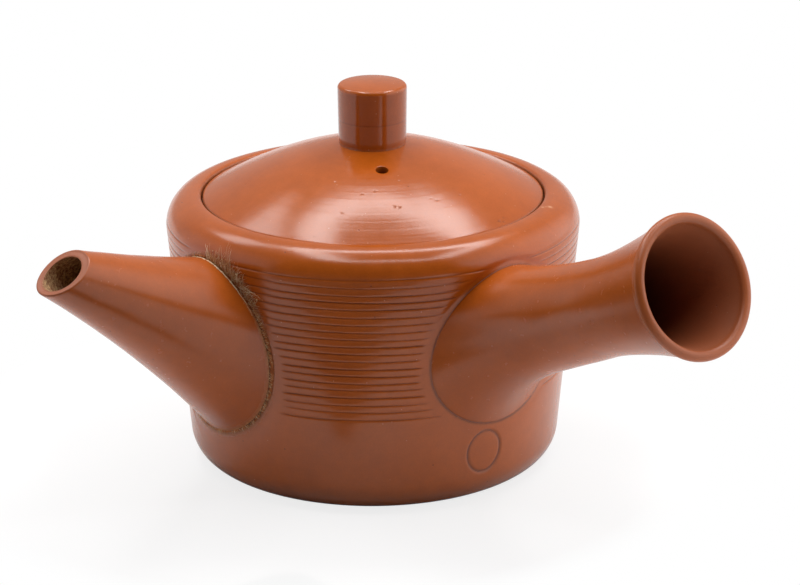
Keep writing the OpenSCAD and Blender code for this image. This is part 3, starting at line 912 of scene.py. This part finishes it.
_, seam_path, seam_normal = seam_line(seam_angle, handle_r, HANDLE_AT)
line_r = np.repeat((0.15 + 0.03 * Waves(6.0, seed=27)(seam_path))[:, None], LINE_SIDES, 1)
verts, faces = tube(seam_path - 0.14 * seam_normal, seam_normal, line_r, 1.0)
seam = make_object("handle_seam_line", verts, faces, "pot", "handle_seam", clay_side)
# Painted shadow along the seam's low side, under the handle
low_share = np.repeat(bell(seam_degrees, -70, 70), LINE_SIDES)
paint(seam, cut=0.25 + 0.55 * low_share, dull=1.0 - 0.5 * low_share)


# Lid

def dome_z(r, drop=0.0):
    return LID_EDGE_Z - drop + LID_CROWN * (1 - (np.asarray(r, float) / LID_R) ** LID_ROUND)


EDGE_R, LOW_ROUND, LID_COLUMNS, RANDOM_PITS, PIT_DEPTH = 0.9, 0.3, 640, 9, 0.14
LID_PITS = ((28.6, -29.4, 0.34), (28.9, -27.4, 0.26), (29.4, -28.2, 0.20), (28.0, -8.5, 0.28),
            (27.2, -10.5, 0.18), (37.6, 9.3, 0.40), (38.1, 10.8, 0.34), (37.2, 12.6, 0.26),
            (24.3, -45.0, 0.24), (30.5, -52.1, 0.22))
edge_turn = atan2(LID_R, LID_CROWN * LID_ROUND)
edge_from = LID_R - EDGE_R * (1 - cos(edge_turn))
edge_c = (LID_R - EDGE_R, float(dome_z(edge_from)) - EDGE_R * sin(edge_turn))
lid_profile = [
    (0, LID_EDGE_Z + LID_CROWN), *((r, float(dome_z(r))) for r in np.arange(0.5, edge_from - 0.05, 0.16)),
    *arc(edge_c, EDGE_R, degrees(edge_turn), 0, 12),
    *line((LID_R, edge_c[1]), (LID_R, LEDGE_Z + LOW_ROUND), 0.5),
    *arc((LID_R - LOW_ROUND, LEDGE_Z + LOW_ROUND), LOW_ROUND, 0, -90, 5),
    *line((LID_R - LOW_ROUND, LEDGE_Z), (FLANGE_IN_R, LEDGE_Z), 1.0, (False, True)),
    *line((FLANGE_IN_R, LEDGE_Z), (FLANGE_IN_R, float(dome_z(FLANGE_IN_R, LID_T))), 0.7, (False, True)),
    *((r, float(dome_z(r, LID_T))) for r in np.arange(FLANGE_IN_R - 0.6, 0.5, -0.8)),
    (0, LID_EDGE_Z + LID_CROWN - LID_T)]
verts, faces = lathe(lid_profile, LID_COLUMNS)
lid = make_object("lid_shell", verts, [f[::-1] for f in faces], "lid", "lid_dome", clay_lid)
vent = on_arc((0, 0), VENT_AT, VENT_TURN)
boolean_cut(lid, *cylinder((*vent, VENT_FROM), (*vent, VENT_TO), VENT_R, 64))
p = points_mm(lid)
rho = axis_r(p)
outer = (p[:, 2] > dome_z(np.clip(rho, 0, LID_R)) - 0.3) & (rho < LID_R - 0.3)
ring_mark = np.zeros(len(p))
theta = np.arctan2(p[:, 1], p[:, 0])
for wavelength, size in ((0.75, 0.0012), (1.15, 0.0016), (2.3, 0.0022), (5.2, 0.005)):
    shift = rng.uniform(0, TAU)
    ring_mark += size * np.sin(rho * TAU / wavelength + shift + 0.5 * np.sin(theta + shift))
lid_move = 0.035 * Waves(20.0, seed=41)(p) + ring_mark
to_vent = axis_r(p, *vent)
lid_move -= 0.07 * bell(to_vent, VENT_R, 0.22)
pits = np.zeros(len(p))
random_pits = [(rng.uniform(12, 38), rng.uniform(0, 360), rng.uniform(0.10, 0.18))
               for _ in range(RANDOM_PITS)]
for r, turn, size in [(r, turn, 0.75 * size) for r, turn, size in LID_PITS] + random_pits:
    x, y = on_arc((0, 0), r, turn)
    uneven = 1 + 0.35 * np.sin(3 * np.arctan2(p[:, 1] - y, p[:, 0] - x) + r)
    pits = np.maximum(pits, bell(axis_r(p, x, y) / uneven, 0, size))
lid_move -= PIT_DEPTH * pits
p[:, 2] += np.where(outer, lid_move * (1 - smooth(LID_R - 1.4, LID_R - 0.4, rho)), 0)
move_points(lid, p)
# Painted shade in the pits and inside the vent's hole; the lid's edge darker
paint(lid, along=np.where(outer, rho, 120 + rho), grime=np.where(rho > LID_R - 0.2, 0.5, 0.0),
      cut=np.where(outer, 0.55 * pits, 1.2 * (to_vent < VENT_R + 0.05)))

FLANGE_ROUND, FLANGE_COLUMNS = 0.5, 360
flange_low = LEDGE_Z - FLANGE_H + FLANGE_ROUND
flange_profile = [*line((FLANGE_R, LEDGE_Z), (FLANGE_R, flange_low), 0.5, (True, False)),
                  *arc((FLANGE_R - FLANGE_ROUND, flange_low), FLANGE_ROUND, 0, -90, 6),
                  *arc((FLANGE_IN_R + FLANGE_ROUND, flange_low), FLANGE_ROUND, -90, -180, 6),
                  *line((FLANGE_IN_R, flange_low), (FLANGE_IN_R, LEDGE_Z), 0.5, (False, True))]
verts, faces = lathe(flange_profile, FLANGE_COLUMNS, False)
flange = make_object("lid_flange_ring", verts, [f[::-1] for f in faces], "lid_ring", "lid_flange",
                     clay_inside)
paint(flange, along=verts[:, 2] + 200, grime=0.12)

KNOB_SINK, KNOB_COLUMNS, KNOB_LINE = 0.6, 320, 8.6
knob_base = float(dome_z(KNOB_FOOT_R)) - KNOB_SINK
top_c = (KNOB_TOP_R - KNOB_EDGE_R, KNOB_TOP_Z - KNOB_CROWN - KNOB_EDGE_R)
crown_r = (top_c[0] ** 2 + KNOB_CROWN ** 2) / (2 * KNOB_CROWN)
knob_profile = [
    (0, knob_base), *line((0, knob_base), (KNOB_FOOT_R - 0.1, knob_base), 1.2, (False, True)),
    *line((KNOB_FOOT_R, knob_base + 0.4), (KNOB_TOP_R, top_c[1]), 0.12, (True, False)),
    *arc(top_c, KNOB_EDGE_R, 0, 86, 14),
    *((r, KNOB_TOP_Z - crown_r + sqrt(crown_r ** 2 - r * r))
      for r in np.arange(top_c[0] - 0.2, 0.3, -0.2)),
    (0, KNOB_TOP_Z)]
verts, faces = lathe(knob_profile, KNOB_COLUMNS)
rho, z = axis_r(verts), verts[:, 2].copy()
side_wall = (rho > KNOB_FOOT_R - 0.3) & (z < top_c[1]) & (z > knob_base + 0.3)
knob_line = bell(z, KNOB_TOP_Z - KNOB_LINE, 0.12)
turned = 0.003 * np.sin(z * TAU / 0.62) + 0.004 * np.sin(z * TAU / 1.7 + 1.0) - 0.03 * knob_line
waist = 0.10 * bell(z, knob_base + 0.7, 0.8)
verts[:, :2] *= (1 + np.where(side_wall, (turned - waist) / np.maximum(rho, 1), 0))[:, None]
knob = make_object("lid_knob_turned", verts, faces, "lid", "lid_knob", clay_knob)
# Painted shade on the side wall and in the turned line; darker at the foot
paint(knob, along=np.where(side_wall, z, z + 40 - rho), grime=0.3 * bell(z, knob_base + 0.5, 0.4) * side_wall,
      cut=np.where(side_wall, 0.26 + 0.30 * knob_line, 0))

for name in ("strainer", "strainer_seam"):
    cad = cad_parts[name]
    cad.data.materials.clear()
    cad.data.materials.append(clay_inside)


# Stage: pale floor, soft studio light, camera at the photo's place

VIEW_TURN = radians(50.8)
# Plain white from FLOOR_FAR on, round a centre shifted to the picture's left; FLOOR_DIM is close to the pot
FLOOR_NEAR, FLOOR_FAR, FLOOR_SHIFT, FLOOR_WHITE, FLOOR_VEIL = 0.048, 0.092, -0.014, 0.90, 0.80
FLOOR_DIM, FLOOR_BRIGHT, FLOOR_DIM_R, FLOOR_BRIGHT_R = 0.10, 0.95, 0.055, 0.084


def seen_ray(tree):
    """1 for rays that look at the background: the camera's, mirrored and refracted ones."""
    paths = node(tree, "LightPath")
    bent = plus(paths.outputs["Is Glossy Ray"], paths.outputs["Is Transmission Ray"])
    return plus(paths.outputs["Is Camera Ray"], bent, True)


def floor_material():
    """Pale floor: a soft shadow near the pot, white further out, less light thrown back close to the pot."""
    material, tree, end, place = new_material("pale_floor", True)
    shifted = node(tree, "VectorMath", operation="SUBTRACT")
    shifted.inputs[1].default_value = (FLOOR_SHIFT * cos(VIEW_TURN), FLOOR_SHIFT * sin(VIEW_TURN), 0)
    link(place, shifted.inputs[0])
    lengths = []
    for vector in (shifted.outputs[0], place):
        length = node(tree, "VectorMath", operation="LENGTH")
        link(vector, length.inputs[0])
        lengths.append(length.outputs["Value"])
    far = ramp(lengths[0], (FLOOR_NEAR, 0), (FLOOR_FAR, 1))
    bounce = ramp(lengths[1], (FLOOR_DIM_R, FLOOR_DIM), (FLOOR_BRIGHT_R, FLOOR_BRIGHT))
    camera_ray = node(tree, "LightPath").outputs["Is Camera Ray"]
    diffuse = node(tree, "BsdfDiffuse")
    seen = seen_ray(tree)
    link(mix(tree, seen, bounce, grey(FLOOR_WHITE)), diffuse.inputs["Color"])
    white = node(tree, "Emission", Color=grey(1), Strength=1.0)
    blend = node(tree, "MixShader")
    veil = times(camera_ray, FLOOR_VEIL)
    link(math_node("MAXIMUM", veil, times(seen, far)), blend.inputs[0])
    link(diffuse.outputs[0], blend.inputs[1])
    link(white.outputs[0], blend.inputs[2])
    link(blend.outputs[0], end)
    return material


FLOOR_SIZE, FLOOR_DROP = 12, 0.0002
bpy.ops.mesh.primitive_plane_add(size=FLOOR_SIZE)
floor = bpy.context.object
floor.name = "pale_floor"
floor.location.z = -FLOOR_DROP
floor.data.materials.append(floor_material())

CAM_DISTANCE, CAM_HEIGHT = 0.750, 0.2985
PITCH, YAW, ROLL, FOCAL_PX = 0.3339, 0.0082, -0.0044, 3408.0
IMAGE_WIDTH, SENSOR = 800, 36.0
turn = np.array(Matrix.Rotation(VIEW_TURN, 3, "Z"))
forward = np.array([sin(YAW) * cos(PITCH), cos(YAW) * cos(PITCH), -sin(PITCH)])
right = np.array([cos(YAW), -sin(YAW), 0.0])
above = np.cross(right, forward)
right, above = right * cos(ROLL) + above * sin(ROLL), -right * sin(ROLL) + above * cos(ROLL)
camera_data = bpy.data.cameras.new("camera")
camera_data.sensor_width = SENSOR
camera_data.lens = FOCAL_PX / IMAGE_WIDTH * SENSOR
camera_data.clip_start, camera_data.clip_end = 0.05, 50
camera = new_object("camera", camera_data)
columns = [turn @ right, turn @ above, -(turn @ forward), turn @ np.array([0, -CAM_DISTANCE, CAM_HEIGHT])]
camera.matrix_world = Matrix([[float(c[i]) for c in columns] for i in range(3)] + [[0, 0, 0, 1]])
bpy.context.scene.camera = camera

# Five soft strips over the pot and a soft box further left, all facing down: x, y, width, depth, radiance
LAMP_Z = 1.0
LAMPS = {"lamp_back": (0.10, 0.405, 0.72, 0.17, 8.6), "lamp_front": (0.09, -0.34, 0.66, 0.10, 6.5),
         "lamp_left": (-0.265, 0.06, 0.17, 0.80, 7.8), "lamp_right": (0.48, 0.06, 0.17, 0.74, 7.2),
         "lamp_back_right": (0.37, 0.55, 0.26, 0.12, 7.0), "lamp_far_left": (-0.66, 0.55, 0.45, 0.45, 4.2)}
for name, (x, y, width, depth, radiance) in LAMPS.items():
    data = bpy.data.lights.new(name, "AREA")
    data.shape, data.size, data.size_y = "RECTANGLE", width, depth
    data.energy = radiance * pi * width * depth
    lamp = new_object(name, data)
    lamp.matrix_world = Matrix.Rotation(VIEW_TURN, 4, "Z") @ Matrix.Translation((x, y, LAMP_Z))
    lamp.visible_camera = False

WORLD_FILL = 0.80
world = bpy.data.worlds.new("studio")
scene.world = world
world.use_nodes = True
tree = world.node_tree
background = tree.nodes["Background"]
strength = plus(times(seen_ray(tree), 1 - WORLD_FILL), WORLD_FILL)
background.inputs["Color"].default_value = grey(1)
link(strength, background.inputs["Strength"])

# A white tent round the set, unseen by the camera: dim behind, darker in front, brighter at its two sides
TENT_R, TENT_DIM, TENT_FRONT, TENT_LEFT, TENT_RIGHT = 1.7, 0.46, 0.18, 0.85, 1.55
bpy.ops.mesh.primitive_ico_sphere_add(subdivisions=3, radius=TENT_R)
tent = bpy.context.object
tent.name = "white_tent"
tent.rotation_euler.z = VIEW_TURN
tent_material, tree, end, place = new_material("white_tent", True)
split = node(tree, "SeparateXYZ")
link(place, split.inputs[0])
across, away = (plus(times(split.outputs[i], 0.5 / TENT_R), 0.5) for i in (0, 1))
sides = ramp(across, (0.06, TENT_LEFT), (0.24, 0), (0.70, 0), (0.90, TENT_RIGHT))
middle = ramp(away, (0.42, TENT_FRONT), (0.60, TENT_DIM))
glow = node(tree, "Emission")
link(mix(tree, 1.0, sides, middle, "LIGHTEN"), glow.inputs["Color"])
link(glow.outputs[0], end)
tent.data.materials.append(tent_material)
tent.visible_camera = False

# A dark card curved round the front, where the photographer stands, and its foot on the floor; the clay
# mirrors them, and the camera doesn't see them
CARD_R, CARD_LEFT, CARD_RIGHT, CARD_STEPS = 0.18, -52, 46, 40
CARD_ROWS, CARD_TONES = (0.0, 0.03, 0.11, 0.31), (0.30, 0.30, 0.015, 0.015)
CARD_LIFT, CARD_GAP, CARD_GAP_TURNS, ROW_GAP = 0.0004, 0.07, (14, 34), 0.001
FOOT_REACH, FOOT_TURN, FOOT_SPREAD = 0.105, -13, 23
FOOT_DARK, FOOT_PALE, FOOT_FADE = 0.10, 0.80, (14, 36)
turns = np.linspace(CARD_LEFT, CARD_RIGHT, CARD_STEPS + 1)
a = np.radians(turns)
out_card = np.column_stack([np.sin(a), -np.cos(a), np.zeros(len(a))]) @ turn.T
base_z = CARD_LIFT + CARD_GAP * smooth(*CARD_GAP_TURNS, turns)
card_z = [np.maximum(base_z + ROW_GAP * i, z) for i, z in enumerate(CARD_ROWS)]
card_rows = [out_card * CARD_R + z[:, None] * np.array([0, 0, 1]) for z in card_z]
foot_row = card_rows[0] - out_card * (FOOT_REACH * bell(turns, FOOT_TURN, FOOT_SPREAD))[:, None]
foot_tone = FOOT_DARK + (FOOT_PALE - FOOT_DARK) * smooth(*FOOT_FADE, np.abs(turns - FOOT_TURN))
card_material, tree, shader, _ = new_material("dark_card")
link(attribute(tree, "tone"), shader.inputs["Base Color"])
shader.inputs["Roughness"].default_value = 1.0
for name, rows, tone in (("dark_card_foot", [foot_row, card_rows[0]], np.tile(foot_tone, 2)),
                         ("dark_card", card_rows, np.interp(np.concatenate(card_z), CARD_ROWS, CARD_TONES))):
    mesh = bpy.data.meshes.new(name)
    starts = [k * (CARD_STEPS + 1) + i for k in range(len(rows) - 1) for i in range(CARD_STEPS)]
    quads = [[i, i + 1, i + 2 + CARD_STEPS, i + 1 + CARD_STEPS] for i in starts]
    mesh.from_pydata(np.vstack(rows).tolist(), [], quads)
    mesh.materials.append(card_material)
    card = new_object(name, mesh)
    paint(card, tone=tone)
    card.visible_camera = False
    card.visible_shadow = name == "dark_card"

bpy.context.scene.view_settings.view_transform = "Standard"
